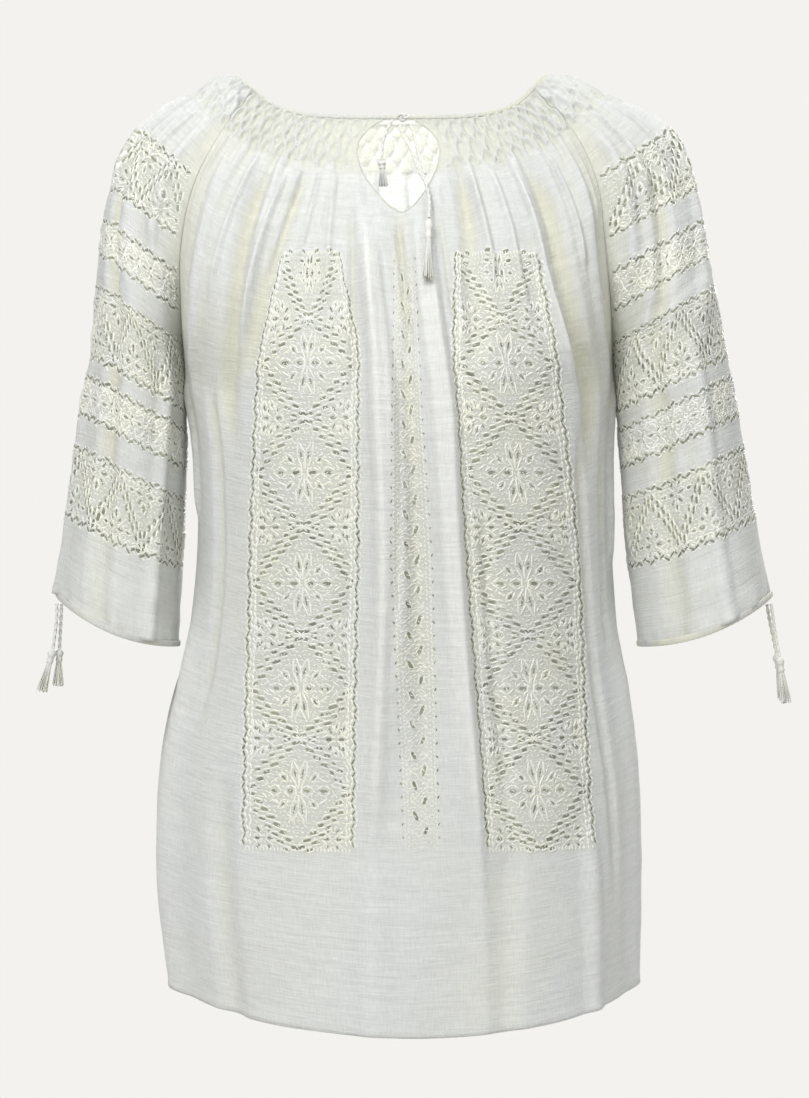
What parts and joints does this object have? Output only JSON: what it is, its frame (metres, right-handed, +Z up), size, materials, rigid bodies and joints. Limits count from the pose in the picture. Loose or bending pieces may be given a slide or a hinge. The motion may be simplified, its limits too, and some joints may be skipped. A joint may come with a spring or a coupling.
{
  "type": "romanian ie blouse",
  "caption": "Hollow raglan peasant blouse in white gauze, with a smocked round neck, tied slit, elbow sleeves, embroidered bands and a curved hem.",
  "frame": {"origin": "in the blouse's middle plane, on the line between the two shoulder tops of the neck edge, where the wearer's shoulders carry it", "axes": "+Z up, the front faces -Y, the wearer's left sleeve is at +X"},
  "size_m": [0.5406, 0.2555, 0.6791],
  "materials": {
    "gauze": "crinkled white cotton gauze with a slubby plain weave",
    "strip": "folded white cotton, matte",
    "cord": "twisted white cotton thread, soft sheen"
  },
  "bodies": {
    "root": {"front_panel": "gauze", "back_panel": "gauze", "sleeve_right": "gauze", "sleeve_left": "gauze", "neck_binding": "strip", "cuff_casing_right": "strip", "cuff_casing_left": "strip", "neck_knot": "cord", "neck_cord_short": "cord", "neck_cord_long": "cord", "neck_cord_loop": "cord", "cuff_cord_right_a": "cord", "cuff_cord_right_b": "cord", "cuff_cord_left_a": "cord", "cuff_cord_left_b": "cord", "neck_tassel_short": "cord", "neck_tassel_long": "cord", "cuff_tassel_right_a": "cord", "cuff_tassel_right_b": "cord", "cuff_tassel_left_a": "cord", "cuff_tassel_left_b": "cord"}
  },
  "joints": []
}
